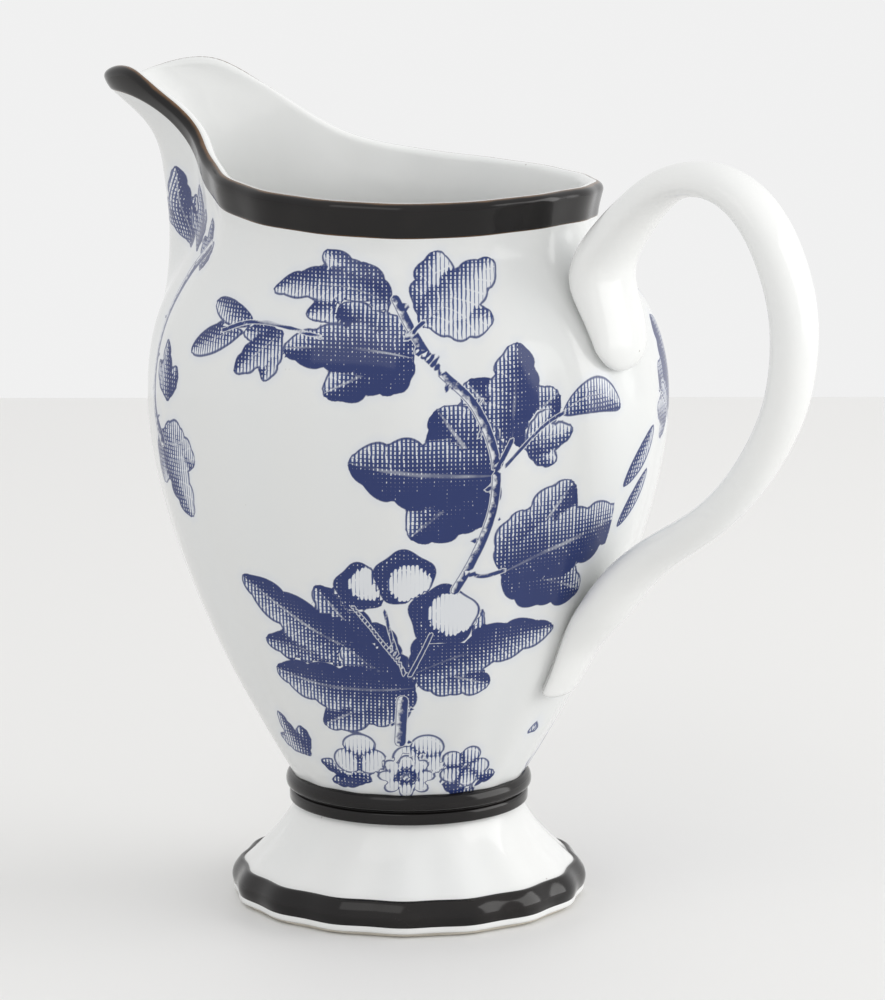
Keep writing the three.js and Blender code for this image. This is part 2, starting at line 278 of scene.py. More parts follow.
def closed_net(name, rows, bottom=None, top=None):
    """rows: one array of points per row, going up outside and, for a vessel, down inside."""
    columns = len(rows[0])
    points = np.concatenate(rows)
    faces = net_faces(len(rows), columns)
    if bottom is not None:
        points = np.vstack([points, bottom])
        pole = len(points) - 1
        faces += [[(i + 1) % columns, i, pole] for i in range(columns)]
    if top is not None:
        points = np.vstack([points, top])
        pole = len(points) - 1
        last = (len(rows) - 1) * columns
        faces += [[last + i, last + (i + 1) % columns, pole] for i in range(columns)]
    if bottom is None and top is None:
        last = (len(rows) - 1) * columns
        faces += [[last + i, last + (i + 1) % columns, (i + 1) % columns, i] for i in range(columns)]
    return new_object(name, points, faces)


# %% [markdown]
# ## The cast body
#
# The visible wall is one closed net: up the outside to just under the band, over the crest, and down
# the inside to the floor. The columns are close enough for the soft panels to shade smoothly and for
# the printed spray to be painted on the points.

# %% The cast body
columns = 480
outside_rows = 166
inside_rows = 26
angles = 2 * np.pi * np.arange(columns) / columns
band_foot = rim_line(angles) - band_width(angles)


def outside_height(t):
    """From a little inside the collar to a little under the band."""
    return share(body_base - 0.4, band_foot + 0.2, t)


def outside_row(t):
    return wall_point(angles, outside_height(t), 0.0 * angles)


def crest_row(down, depth):
    return wall_point(angles, rim_line(angles) - down, depth + 0 * angles)


floor_top = body_base + floor_thickness


def inside_row(t):
    return wall_point(angles, share(rim_line(angles) - 1.9, floor_top, t), wall + 0 * angles)


rows = [outside_row(t) for t in np.linspace(0, 1, outside_rows)]
rows += [crest_row(1.6, 0.45), crest_row(0.25, wall / 2)]
for i in range(5, 11):
    turn = math.pi * i / 10
    rows.append(crest_row(1.32 - 1.3 * math.sin(turn), wall / 2 - wall / 2 * math.cos(turn)))
rows += [inside_row(t) for t in np.linspace(0, 1, inside_rows)]
floor_radius = float(body_radius(floor_top)) - wall
for part, drop in ((0.93, 0.5), (0.82, 0.8), (0.5, 1.0)):
    ring = [floor_radius * part * np.cos(angles), floor_radius * part * np.sin(angles)]
    rows.append(np.stack(ring + [floor_top - drop + 0 * angles], -1))
body = closed_net("cast_body", rows, bottom=[0, 0, body_base - 0.4],
                  top=[0, 0, floor_top - 1.0])
print("cast body:", len(body.data.polygons), "faces")

# %% [markdown]
# ## The black enamel round the rim
#
# The rim is banded with black enamel, which ends on the crest of the wall, so the inside stays white.
# It is made as its own closed skin, a tenth of a millimetre proud of the glaze. Every point keeps its
# distance from the edge of the enamel, because the thin edge burns to a warm brown in the kiln.

# %% The rim band
proud = 0.1
crest_steps = 9
crest_turn = 0.5 * math.pi
half_wall = wall / 2
burnt_reach = 0.7
band_angles = 2 * np.pi * np.arange(720) / 720


def rim_row(down, depth):
    return wall_point(band_angles, rim_line(band_angles) - down, depth + 0 * band_angles)


def rim_band_rows():
    width = band_width(band_angles)
    made = [(rim_row(width, 0.35 + 0 * width), 0.0), (rim_row(width - 0.02, 0.0 * width), 0.0)]
    for t in (0.04, 0.1, 0.2, 0.35, 0.5, 0.65, 0.8, 1.0):
        down = share(width, half_wall, t)
        rise = proud * min(1, t / 0.1)
        made.append((rim_row(down, -rise + 0 * down), t * (rim_band_width - half_wall)))
    for i in range(1, crest_steps):
        turn = crest_turn * i / crest_steps
        depth = half_wall - (half_wall + proud) * math.cos(turn)
        left = burnt_reach * (1 - i / crest_steps)
        made.append((rim_row(half_wall - half_wall * math.sin(turn), depth), left))
    depth = half_wall - half_wall * math.cos(crest_turn)
    made += [(rim_row(1.32 - half_wall * math.sin(crest_turn), depth), 0.0),
             (rim_row(0.7, depth), 0.0), (rim_row(1.5, 0.8), 0.0)]
    return made


def keep_on_points(thing, name, values):
    attribute = thing.data.attributes.new(name, "FLOAT", "POINT")
    attribute.data.foreach_set("value", np.asarray(values, np.float32))


band_rows = rim_band_rows()
rim_band = closed_net("rim_enamel", [row for row, _ in band_rows])
keep_on_points(rim_band, "from_edge", np.repeat([edge for _, edge in band_rows], len(band_angles)))
print("rim enamel:", len(rim_band.data.polygons), "faces")

# %% [markdown]
# ## Turned pieces
#
# The collar, the foot and its enamelled edge are turned: one profile, carried once round the axis. A
# Screw modifier would do for plain rings, but these have the same soft panels as the body, so a small
# Geometry Nodes tree carries the profile round and presses the panels in. Its inputs are the number
# of steps and panels, where the axis stands and the material. Each profile point says how much of the
# panel it takes and how far it lies from the edge of the enamel.

# %% A helper for node trees
def node_in(tree, kind, settings=None, inputs=None):
    made = tree.nodes.new(kind)
    for key, value in (settings or {}).items():
        setattr(made, key, value)
    for key, value in (inputs or {}).items():
        socket = made.inputs[key]
        if isinstance(value, bpy.types.NodeSocket):
            tree.links.new(value, socket)
        else:
            socket.default_value = value
    return made


class Wire:
    """A node socket that can be added, multiplied and so on like a number."""

    def __init__(self, tree, socket, maths="ShaderNodeMath"):
        self.tree, self.socket, self.maths = tree, socket, maths

    def _do(self, operation, *others, flipped=False):
        made = self.tree.nodes.new(self.maths)
        made.operation = operation
        values = [self, *others]
        if flipped:
            values = [others[0], self]
        for slot, value in zip(made.inputs, values):
            if isinstance(value, Wire):
                self.tree.links.new(value.socket, slot)
            else:
                slot.default_value = value
        return Wire(self.tree, made.outputs[0], self.maths)

    def __add__(self, other): return self._do("ADD", other)
    def __radd__(self, other): return self._do("ADD", other)
    def __sub__(self, other): return self._do("SUBTRACT", other)
    def __rsub__(self, other): return self._do("SUBTRACT", other, flipped=True)
    def __mul__(self, other): return self._do("MULTIPLY", other)
    def __rmul__(self, other): return self._do("MULTIPLY", other)
    def __truediv__(self, other): return self._do("DIVIDE", other)
    def __rtruediv__(self, other): return self._do("DIVIDE", other, flipped=True)
    def __pow__(self, other): return self._do("POWER", other)
    def __neg__(self): return self._do("MULTIPLY", -1.0)
    def __abs__(self): return self._do("ABSOLUTE")
    def cos(self): return self._do("COSINE")
    def sin(self): return self._do("SINE")
    def fraction(self): return self._do("FRACT")
    def least(self, other): return self._do("MINIMUM", other)
    def most(self, other): return self._do("MAXIMUM", other)
    def whole(self): return self._do("ROUND")

    def step(self, start, end):
        """0 at start, 1 at end, smooth between; start may be above end."""
        made = self.tree.nodes.new("ShaderNodeMapRange")
        made.interpolation_type = "SMOOTHSTEP"
        self.tree.links.new(self.socket, made.inputs["Value"])
        low_end, high_end, turned_round = (start, end, False) if start < end else (end, start, True)
        made.inputs["From Min"].default_value = low_end
        made.inputs["From Max"].default_value = high_end
        made.inputs["To Min"].default_value = 1.0 if turned_round else 0.0
        made.inputs["To Max"].default_value = 0.0 if turned_round else 1.0
        return Wire(self.tree, made.outputs["Result"], self.maths)


# %% The tree that turns a profile
def new_geometry_tree(name, inputs):
    tree = bpy.data.node_groups.new(name, "GeometryNodeTree")
    tree.interface.new_socket("Geometry", in_out="INPUT", socket_type="NodeSocketGeometry")
    for label, kind in inputs:
        tree.interface.new_socket(label, in_out="INPUT", socket_type=kind)
    tree.interface.new_socket("Geometry", in_out="OUTPUT", socket_type="NodeSocketGeometry")
    return tree


def sampled(tree, guide, kind, value, index):
    made = node_in(tree, "GeometryNodeSampleIndex", {"data_type": kind, "domain": "POINT"})
    tree.links.new(guide, made.inputs["Geometry"])
    tree.links.new(value, made.inputs["Value"])
    tree.links.new(index, made.inputs["Index"])
    return made.outputs["Value"]


def named(tree, name):
    made = node_in(tree, "GeometryNodeInputNamedAttribute", {"data_type": "FLOAT"}, {"Name": name})
    return made.outputs["Attribute"]


def guided_grid(tree, guide, steps):
    """A grid with one row per guide point: its mesh, the angle round and the guide's index."""
    size = node_in(tree, "GeometryNodeAttributeDomainSize", {"component": "MESH"})
    tree.links.new(guide, size.inputs[0])
    count = size.outputs["Point Count"]
    columns = Wire(tree, steps) + 1
    grid = node_in(tree, "GeometryNodeMeshGrid", None,
                   {"Size X": 1.0, "Size Y": 1.0, "Vertices X": columns.socket, "Vertices Y": count})
    place = node_in(tree, "ShaderNodeSeparateXYZ")
    tree.links.new(node_in(tree, "GeometryNodeInputPosition").outputs[0], place.inputs[0])
    round_angle = (Wire(tree, place.outputs["X"]) + 0.5) * (2 * math.pi)
    index = ((Wire(tree, place.outputs["Y"]) + 0.5) * (Wire(tree, count) - 1)).whole()
    return grid.outputs["Mesh"], round_angle, index


def finish_tree(tree, mesh, position, stored, material):
    placed = node_in(tree, "GeometryNodeSetPosition")
    tree.links.new(mesh, placed.inputs["Geometry"])
    tree.links.new(position, placed.inputs["Position"])
    flow = placed.outputs[0]
    for name, value in stored:
        store = node_in(tree, "GeometryNodeStoreNamedAttribute",
                        {"data_type": "FLOAT", "domain": "POINT"}, {"Name": name})
        tree.links.new(flow, store.inputs["Geometry"])
        tree.links.new(value, store.inputs["Value"])
        flow = store.outputs[0]
    for kind, inputs in (("GeometryNodeMergeByDistance", {"Distance": 1e-6}),
                         ("GeometryNodeSetShadeSmooth", {}),
                         ("GeometryNodeRealizeInstances", {})):
        step = node_in(tree, kind, None, inputs)
        tree.links.new(flow, step.inputs[0])
        flow = step.outputs[0]
    painted = node_in(tree, "GeometryNodeSetMaterial")
    tree.links.new(flow, painted.inputs["Geometry"])
    tree.links.new(material, painted.inputs["Material"])
    output = node_in(tree, "NodeGroupOutput")
    tree.links.new(painted.outputs[0], output.inputs[0])


def turning_tree():
    tree = new_geometry_tree("turn the profile", [
        ("Steps", "NodeSocketInt"), ("Panels", "NodeSocketInt"), ("Axis", "NodeSocketFloat"),
        ("Material", "NodeSocketMaterial")])
    given = node_in(tree, "NodeGroupInput").outputs
    mesh, angle, index = guided_grid(tree, given["Geometry"], given["Steps"])
    position = node_in(tree, "GeometryNodeInputPosition").outputs[0]
    spot = sampled(tree, given["Geometry"], "FLOAT_VECTOR", position, index.socket)
    spot = node_in(tree, "ShaderNodeSeparateXYZ", None, {0: spot})
    panel = Wire(tree, sampled(tree, given["Geometry"], "FLOAT", named(tree, "panel"), index.socket))
    edge = sampled(tree, given["Geometry"], "FLOAT", named(tree, "from_edge"), index.socket)
    pressed = panel * ((angle * Wire(tree, given["Panels"])).cos() + 1) * 0.5
    radius = Wire(tree, spot.outputs["X"]) * (1 - pressed)
    place = node_in(tree, "ShaderNodeCombineXYZ", None, {
        "X": (radius * angle.cos() + Wire(tree, given["Axis"])).socket,
        "Y": (radius * angle.sin()).socket, "Z": spot.outputs["Z"]})
    finish_tree(tree, mesh, place.outputs[0], [("from_edge", edge)], given["Material"])
    return tree


turning = turning_tree()
print("turning tree:", len(turning.nodes), "nodes")


# %% Using a tree
def through_tree(guide, tree, values, name):
    """Runs a guide object through a tree and keeps the result as a plain mesh."""
    modifier = guide.modifiers.new(tree.name, "NODES")
    modifier.node_group = tree
    sockets = {s.name: s.identifier for s in tree.interface.items_tree
               if s.item_type == "SOCKET" and s.in_out == "INPUT"}
    for label, value in values.items():
        modifier[sockets[label]] = value
    bpy.context.view_layer.update()
    graph = bpy.context.evaluated_depsgraph_get()
    mesh = bpy.data.meshes.new_from_object(guide.evaluated_get(graph))
    mesh.name = name
    bpy.data.objects.remove(guide)
    made = bpy.data.objects.new(name, mesh)
    bpy.context.scene.collection.objects.link(made)
    print(f"{name}: {len(mesh.polygons)} faces")
    return made


def guide_mesh(name, points, **attributes):
    mesh = bpy.data.meshes.new(name)
    mesh.from_pydata([tuple(float(v) for v in p) for p in points], [], [])
    guide = bpy.data.objects.new(name, mesh)
    bpy.context.scene.collection.objects.link(guide)
    for key, values in attributes.items():
        keep_on_points(guide, key, values)
    return guide


# %% Round-cornered profiles
arc_steps = 4


def rounded(corners):
    """corners: (radius, height, corner rounding, panel share). Each corner becomes a short arc."""
    made = []
    for i, (r, z, rounding, panel) in enumerate(corners):
        here = np.array([r, z])
        if rounding == 0 or i in (0, len(corners) - 1):
            made.append((r, z, panel))
            continue
        before = np.array(corners[i - 1][:2]) - here
        after = np.array(corners[i + 1][:2]) - here
        start = before * min(rounding / np.linalg.norm(before), 0.48)
        end = after * min(rounding / np.linalg.norm(after), 0.48)
        for t in np.linspace(0, 1, arc_steps + 1):
            spot = here + start * (1 - t) ** 2 + end * t ** 2
            made.append((spot[0], spot[1], panel))
    return made


def filled_in(points, longest):
    """Adds points along the long straight stretches of a profile."""
    made = [points[0]]
    for a, b in zip(points, points[1:]):
        pieces = max(1, int(math.hypot(b[0] - a[0], b[1] - a[1]) / longest))
        for k in range(1, pieces + 1):
            made.append(tuple(share(np.array(a), np.array(b), k / pieces)))
    return made


turned_steps = 384


def turned_piece(name, corners, material, edge=None, longest=0.5):
    """edge: the height of the enamel's lower edge, for the burnt line."""
    points = filled_in(rounded(corners), longest)
    heights = np.array([z for _, z, _ in points])
    from_edge = 0 * heights if edge is None else np.abs(heights - edge)
    guide = guide_mesh(name + "_guide", [(r * mm, 0, z * mm) for r, z, _ in points],
                       panel=[p for _, _, p in points], from_edge=from_edge)
    values = {"Steps": turned_steps, "Panels": panel_count, "Axis": axis_x * mm, "Material": material}
    return through_tree(guide, turning, values, name)

# %% [markdown]
# ## Finishes
#
# Four finishes: clear glaze over white porcelain, black enamel, bare fired clay under the foot, and
# the glaze again with the blue print beneath it. A flat white would look like plastic. Real glaze is
# glossy, with a very slight ripple, is a little blue where it pools, and carries a few dark specks no
# bigger than a grain of salt. A small class lets the maths of a finish be written as expressions.

# %% Helpers for shaders
class Finish:
    def __init__(self, name):
        self.material = bpy.data.materials.new(name)
        self.material.use_nodes = True
        self.tree = self.material.node_tree
        self.tree.nodes.clear()
        self.output = self.tree.nodes.new("ShaderNodeOutputMaterial")
        self.shader = self.tree.nodes.new("ShaderNodeBsdfPrincipled")
        self.tree.links.new(self.shader.outputs[0], self.output.inputs["Surface"])
        place = self.tree.nodes.new("ShaderNodeTexCoord")
        self.place = place.outputs["Object"]

    def node(self, kind, settings=None, inputs=None, output=0):
        given = {k: v.socket if isinstance(v, Wire) else v for k, v in (inputs or {}).items()}
        made = node_in(self.tree, kind, settings, given)
        return Wire(self.tree, made.outputs[output])

    def constant(self, **values):
        for key, value in values.items():
            self.shader.inputs[key.replace("_", " ")].default_value = value

    def feed(self, socket, value):
        self.tree.links.new(value.socket, self.shader.inputs[socket])

    def noise(self, per_metre, detail=2.0, roughness=0.5):
        return self.node("ShaderNodeTexNoise", {"noise_dimensions": "3D"},
                         {"Vector": self.place, "Scale": per_metre, "Detail": detail,
                          "Roughness": roughness}, output="Fac")

    def cells(self, per_metre):
        return self.node("ShaderNodeTexVoronoi", {"feature": "F1"},
                         {"Vector": self.place, "Scale": per_metre}, output="Distance")

    def attribute(self, name):
        return self.node("ShaderNodeAttribute", {"attribute_name": name}, None, "Fac")

    def mixed(self, amount, first, second):
        made = self.tree.nodes.new("ShaderNodeMix")
        made.data_type = "RGBA"
        for socket, value in ((made.inputs[0], amount), (made.inputs[6], first),
                              (made.inputs[7], second)):
            if isinstance(value, Wire):
                self.tree.links.new(value.socket, socket)
            elif isinstance(value, tuple):
                socket.default_value = (*value, 1.0)
            else:
                socket.default_value = value
        return Wire(self.tree, made.outputs[2])

    def bump(self, height, strength, distance):
        made = self.node("ShaderNodeBump", None,
                         {"Height": height, "Strength": strength, "Distance": distance})
        self.feed("Normal", made)


# %% Glaze over white porcelain
glaze_white = (0.82, 0.825, 0.815)
pooled_blue = (0.72, 0.755, 0.77)
speck_brown = (0.20, 0.15, 0.12)


def glaze_colour(finish):
    """White clay under clear glaze, faintly clouded, with a few tiny specks."""
    cloud = finish.noise(38, 3.0).step(0.35, 0.75)
    colour = finish.mixed(cloud * 0.16, glaze_white, pooled_blue)
    grain = finish.cells(420)
    seldom = finish.noise(90, 1.0).step(0.66, 0.70)
    speck = grain.step(0.10, 0.05) * seldom
    return finish.mixed(speck * 0.55, colour, speck_brown)


def glaze_surface(finish):
    ripple = finish.noise(70, 2.0) * 0.6 + finish.noise(420, 2.0) * 0.08
    finish.bump(ripple, 0.18, 0.0004)
    finish.feed("Roughness", finish.noise(160, 2.0) * 0.06 + 0.07)
    finish.constant(IOR=1.36)


def white_glaze():
    finish = Finish("white_glaze")
    finish.feed("Base Color", glaze_colour(finish))
    glaze_surface(finish)
    return finish.material


# %% Black enamel with a burnt edge
enamel_black = (0.0065, 0.0055, 0.0055)
enamel_worn = (0.016, 0.013, 0.012)
burnt_brown = (0.17, 0.09, 0.04)


def black_enamel():
    finish = Finish("black_enamel")
    streak = finish.noise(55, 3.0, 0.6).step(0.45, 0.72)
    black = finish.mixed(streak * 0.7, enamel_black, enamel_worn)
    wander = finish.noise(260, 2.0) * 0.22
    edge = (finish.attribute("from_edge") + wander).step(0.36, 0.16)
    finish.feed("Base Color", finish.mixed(edge * 0.85, black, burnt_brown))
    finish.bump(finish.noise(95, 2.0), 0.22, 0.0005)
    finish.feed("Roughness", finish.noise(210, 2.0) * 0.08 + 0.08 + edge * 0.1)
    finish.constant(IOR=1.38)
    return finish.material


# %% Bare fired clay
def bare_biscuit():
    finish = Finish("bare_biscuit")
    grain = finish.noise(1500, 4.0, 0.7)
    stain = finish.noise(60, 3.0).step(0.4, 0.8)
    clay = finish.mixed(grain.step(0.3, 0.8) * 0.5, (0.70, 0.66, 0.58), (0.60, 0.55, 0.47))
    finish.feed("Base Color", finish.mixed(stain * 0.3, clay, (0.46, 0.41, 0.34)))
    finish.bump(grain, 0.5, 0.0002)
    finish.feed("Roughness", grain * 0.25 + 0.6)
    return finish.material


glaze = white_glaze()
enamel = black_enamel()
biscuit = bare_biscuit()
rim_band.data.materials.append(enamel)
print("finishes:", [m.name for m in bpy.data.materials])

# %% [markdown]
# ## Collar and foot
#
# The collar is two rounded mouldings with a groove between them. The foot flares out below it in
# sixteen soft panels to a rolled edge, black again, above a narrow white edge and the bare ring that
# the jug stands on. Profiles run up the outside, so that the turned skin faces out.

# %% Waist collar
roll = collar_top - 0.26 * (collar_top - collar_low)
groove = collar_top - 0.56 * (collar_top - collar_low)
core = waist_radius - 2.4
collar_profile = [
    (core, collar_low - 0.15, 0, 0), (collar_radius - 1.1, collar_low - 0.15, 0, 0),
    (collar_radius - 0.55, collar_low, 0.3, 0), (collar_radius - 0.5, groove - 0.35, 0.6, 0),
    (collar_radius - 1.15, groove, 0.3, 0), (collar_radius - 0.1, groove + 0.35, 0.55, 0),
    (collar_radius + 0.1, roll, 0.7, 0), (collar_radius - 0.25, collar_top - 0.1, 0.6, 0),
    (waist_radius - 0.1, collar_top + 0.28, 0.2, 0), (core, collar_top + 0.28, 0, 0),
    (core, collar_low - 0.15, 0, 0)]
collar = turned_piece("collar_enamel", collar_profile, enamel,
                      edge=collar_low - 0.15, longest=0.22)

# %% Spreading foot
hub = collar_low - gap
edge_radius = foot_edge_radius - 1.6


def flare_radius(t):
    return share(waist_radius - 0.9, edge_radius, t) - 0.9 * math.sin(math.pi * t)


inner_foot = foot_edge_radius - 3.4
foot_profile = [
    (0.0, hub - 3.4, 0, 0), (waist_radius - 6.4, hub - 3.4, 0, 0),
    (waist_radius - 3.6, hub - 4.4, 1.0, 0),
    (inner_foot - 1.6, foot_ring_top + 1.4, 1.0, 0), (inner_foot - 0.6, foot_ring_top, 0.6, 0),
    (foot_edge_radius - 1.2, foot_ring_top, 0, foot_panel_depth),
    (foot_edge_radius - 0.25, foot_ring_top + 0.25, 0.35, foot_panel_depth),
    (foot_edge_radius - 0.2, white_edge_top + 0.1, 0, foot_panel_depth),
    (foot_edge_radius - 0.75, foot_edge_top - 1.2, 0, foot_panel_depth)]
for t in np.linspace(1, 0, 13):
    height = share(foot_edge_top - 0.4, hub, 1 - t)
    panel = foot_panel_depth * min(1, 2 * t)
    foot_profile.append((flare_radius(t), height, 0.3 if t == 1 else 0, panel))
foot_profile += [(waist_radius - 1.1, hub + 0.5, 0, 0), (0.0, hub + 0.6, 0, 0)]
foot = turned_piece("foot_cone", foot_profile, glaze)

# %% Rolled edge of the foot, and the ring it stands on
bead_profile = [
    (foot_edge_radius - 1.6, white_edge_top - 0.1, 0, foot_panel_depth),
    (foot_edge_radius - 0.35, white_edge_top - 0.05, 0.2, foot_panel_depth),
    (foot_edge_radius + 0.1, white_edge_top + 1.5, 1.0, foot_panel_depth),
    (foot_edge_radius - 0.25, foot_edge_top - 1.3, 1.0, foot_panel_depth),
    (foot_edge_radius - 1.35, foot_edge_top + 0.15, 0.6, foot_panel_depth),
    (foot_edge_radius - 1.9, foot_edge_top + 0.15, 0.15, foot_panel_depth),
    (foot_edge_radius - 2.6, foot_edge_top - 0.5, 0, foot_panel_depth),
    (foot_edge_radius - 1.6, white_edge_top - 0.1, 0, foot_panel_depth)]
bead = turned_piece("foot_edge_enamel", bead_profile, enamel,
                    edge=white_edge_top - 0.05, longest=0.22)
ring_profile = [
    (foot_edge_radius - 3.6, foot_ring_top + 0.3, 0, 0), (foot_edge_radius - 3.7, 0.25, 0.2, 0),
    (foot_edge_radius - 3.2, 0.0, 0.25, 0), (foot_edge_radius - 1.8, 0.0, 0.25, 0.01),
    (foot_edge_radius - 1.3, 0.25, 0.2, foot_panel_depth),
    (foot_edge_radius - 1.3, foot_ring_top + 0.3, 0, foot_panel_depth),
    (foot_edge_radius - 3.6, foot_ring_top + 0.3, 0, 0)]
ring = turned_piece("standing_ring", ring_profile, biscuit, longest=0.3)

# %% [markdown]
# ## The loop handle
#
# The handle is a cast strap. Its upper end lies on the shoulder like a tongue, it rises in a high
# loop, and its tail runs down on to the lower body. A bevelled curve could draw it, but its width and
# thickness change separately along its length, so a second tree sweeps a cross-section along guide
# points that carry both. The outer face is round and the inner face is flatter.

# %% The line of the handle
handle_reach = high("loop_handle")[0] - axis_x
handle_top = high("loop_handle")[2] + 0.7
tongue_low, tail_low = 90.5, low("loop_handle")[2] + 1.2
strap_thickness, strap_width = 3.3, 5.3
tongue_width, tail_width = 7.8, 6.6


def wall_at_handle(z):
    return float(outer_radius(np.array(0.0), np.array(float(z))))


def on_body(z, outwards):
    return wall_at_handle(z) + outwards, z


def on_loop(out, up):
    start = wall_at_handle(neck_height)
    return (share(start, handle_reach - strap_thickness, out),
            share(tail_low, handle_top - strap_thickness, up))


handle_points = [on_body(share(tongue_low, neck_height, t), out)
                 for t, out in ((0, -0.9), (0.2, 0), (0.42, 1.4), (0.64, 3.4), (0.82, 6.6))]
handle_points += [on_loop(out, up) for out, up in (
    (0.245, 0.884), (0.335, 0.936), (0.45, 0.982), (0.6, 1), (0.735, 0.985), (0.86, 0.932),
    (0.945, 0.855), (0.99, 0.775), (0.995, 0.69), (0.965, 0.605), (0.89, 0.52), (0.78, 0.44),
    (0.62, 0.365), (0.44, 0.305), (0.3, 0.245))]
handle_points += [on_body(share(tail_low, belly_height, t), out)
                  for t, out in ((0.33, 3.6), (0.19, 1.1), (0.09, 0.9), (0, 0.7))]


def line_through(points, count):
    """Points at even steps along a smooth line, and its direction there."""
    points = np.array(points, float)
    chord = np.concatenate([[0], np.cumsum(np.linalg.norm(np.diff(points, axis=0), axis=1))])
    first = (points[1] - points[0]) / chord[1]
    last = (points[-1] - points[-2]) / (chord[-1] - chord[-2])
    curves = [smooth_through(list(zip(chord, points[:, k])), first[k], last[k]) for k in range(2)]
    fine = np.linspace(0, chord[-1], 4000)
    line = np.stack([curve(fine) for curve in curves], -1)
    length = np.concatenate([[0], np.cumsum(np.linalg.norm(np.diff(line, axis=0), axis=1))])
    along = np.linspace(0, 1, count)
    eased = share(along, along * along * (3 - 2 * along), 0.35)
    spots = np.stack([np.interp(eased * length[-1], length, line[:, k]) for k in range(2)], -1)
    ahead = np.gradient(spots, axis=0)
    return eased, spots, ahead / np.linalg.norm(ahead, axis=1, keepdims=True), length[-1]


handle_steps = 220
eased, handle_line, ahead, handle_length = line_through(handle_points, handle_steps)
print(f"handle: {handle_length:.0f} mm of strap")

# %% Width and thickness along the strap
half_width = smooth_through([
    (0, tongue_width * 0.95), (0.06, tongue_width), (0.13, tongue_width * 0.96),
    (0.24, strap_width * 1.08), (0.36, strap_width), (0.75, strap_width),
    (0.9, tail_width), (1, tail_width * 0.82)], 0, 0)(eased)
half_thickness = smooth_through([
    (0, strap_thickness * 1.1), (0.08, strap_thickness * 1.25), (0.2, strap_thickness),
    (0.45, strap_thickness * 1.06), (0.75, strap_thickness * 0.95),
    (0.92, strap_thickness * 0.9), (1, strap_thickness * 0.5)], 0, 0)(eased)
tongue_tip = np.clip(eased / 0.04, 0, 1)
tail_tip = np.clip((1 - eased) / 0.008, 0, 1)
closing = np.sqrt(1 - (1 - tongue_tip) ** 2) * share(0.55, 1, np.sqrt(1 - (1 - tail_tip) ** 2))
closing = np.maximum(closing, 0.02)


# %% The tree that sweeps the strap
def sweeping_tree():
    tree = new_geometry_tree("sweep the strap", [
        ("Sides", "NodeSocketInt"), ("Inner Face", "NodeSocketFloat"), ("Axis", "NodeSocketFloat"),
        ("Material", "NodeSocketMaterial")])
    given = node_in(tree, "NodeGroupInput").outputs
    mesh, angle, index = guided_grid(tree, given["Geometry"], given["Sides"])
    position = node_in(tree, "GeometryNodeInputPosition").outputs[0]
    spot = sampled(tree, given["Geometry"], "FLOAT_VECTOR", position, index.socket)
    spot = node_in(tree, "ShaderNodeSeparateXYZ", None, {0: spot})

    def kept(name):
        return Wire(tree, sampled(tree, given["Geometry"], "FLOAT", named(tree, name), index.socket))

    axis = Wire(tree, given["Axis"])
    over = angle.cos()
    inner = (-over).most(0.0) ** 0.8
    lift = over.most(0.0) - inner * Wire(tree, given["Inner Face"])
    across = angle.sin()
    place = node_in(tree, "ShaderNodeCombineXYZ", None, {
        "X": (Wire(tree, spot.outputs["X"]) + kept("lift_x") * lift + axis).socket,
        "Y": (kept("wide") * across).socket,
        "Z": (Wire(tree, spot.outputs["Z"]) + kept("lift_z") * lift).socket})
    finish_tree(tree, mesh, place.outputs[0], [], given["Material"])
    return tree


sweeping = sweeping_tree()
outwards = np.stack([-ahead[:, 1], ahead[:, 0]], -1)
lift = outwards * (half_thickness * closing)[:, None] * mm
strap_guide = guide_mesh(
    "strap_guide", [(x * mm, 0, z * mm) for x, z in handle_line],
    lift_x=lift[:, 0], lift_z=lift[:, 1], wide=half_width * closing * mm)
handle = through_tree(strap_guide, sweeping, {
    "Sides": 72, "Inner Face": 0.82, "Axis": axis_x * mm, "Material": glaze},
    "loop_strap")

# %% [markdown]
# ## Sticking the handle on
#
# The handle is stuck to the leather-hard body with slip, and the joint is wiped with a sponge, which
# leaves a small hollow fillet all round each end. The points of the strap that lie close to the wall
# are spread out over it, more the closer they are. Both slip joints of the model are part of this.

# %% Fillets at both ends
fillet_height, fillet_spread, deepest = 2.6, 2.1, -2.5


def wipe_joint(piece):
    mesh = piece.data
    spots = np.zeros(len(mesh.vertices) * 3, np.float32)
    mesh.vertices.foreach_get("co", spots)
    spots = spots.reshape(-1, 3).astype(float) / mm - [axis_x, 0, 0]
    normals = np.array([v.normal for v in mesh.vertices])
    angle, z = np.arctan2(spots[:, 1], spots[:, 0]), spots[:, 2]
    rise = 0.2
    slope = (outer_radius(angle, z + rise) - outer_radius(angle, z - rise)) / (2 * rise)
    above = (np.hypot(spots[:, 0], spots[:, 1]) - outer_radius(angle, z)) / np.sqrt(1 + slope ** 2)
    wall_out = np.stack([np.cos(angle), np.sin(angle), -slope], -1)
    wall_out /= np.linalg.norm(wall_out, axis=1, keepdims=True)
    sideways = normals - wall_out * (normals * wall_out).sum(1, keepdims=True)
    near = np.clip(1 - above / fillet_height, 0, 1) * (above > deepest)
    spots += sideways * (fillet_spread * near ** 2)[:, None]
    mesh.vertices.foreach_set("co", ((spots + [axis_x, 0, 0]) * mm).astype(np.float32).ravel())
    mesh.update()
    return int((near > 0).sum())


print("points wiped into the joints:", wipe_joint(handle))

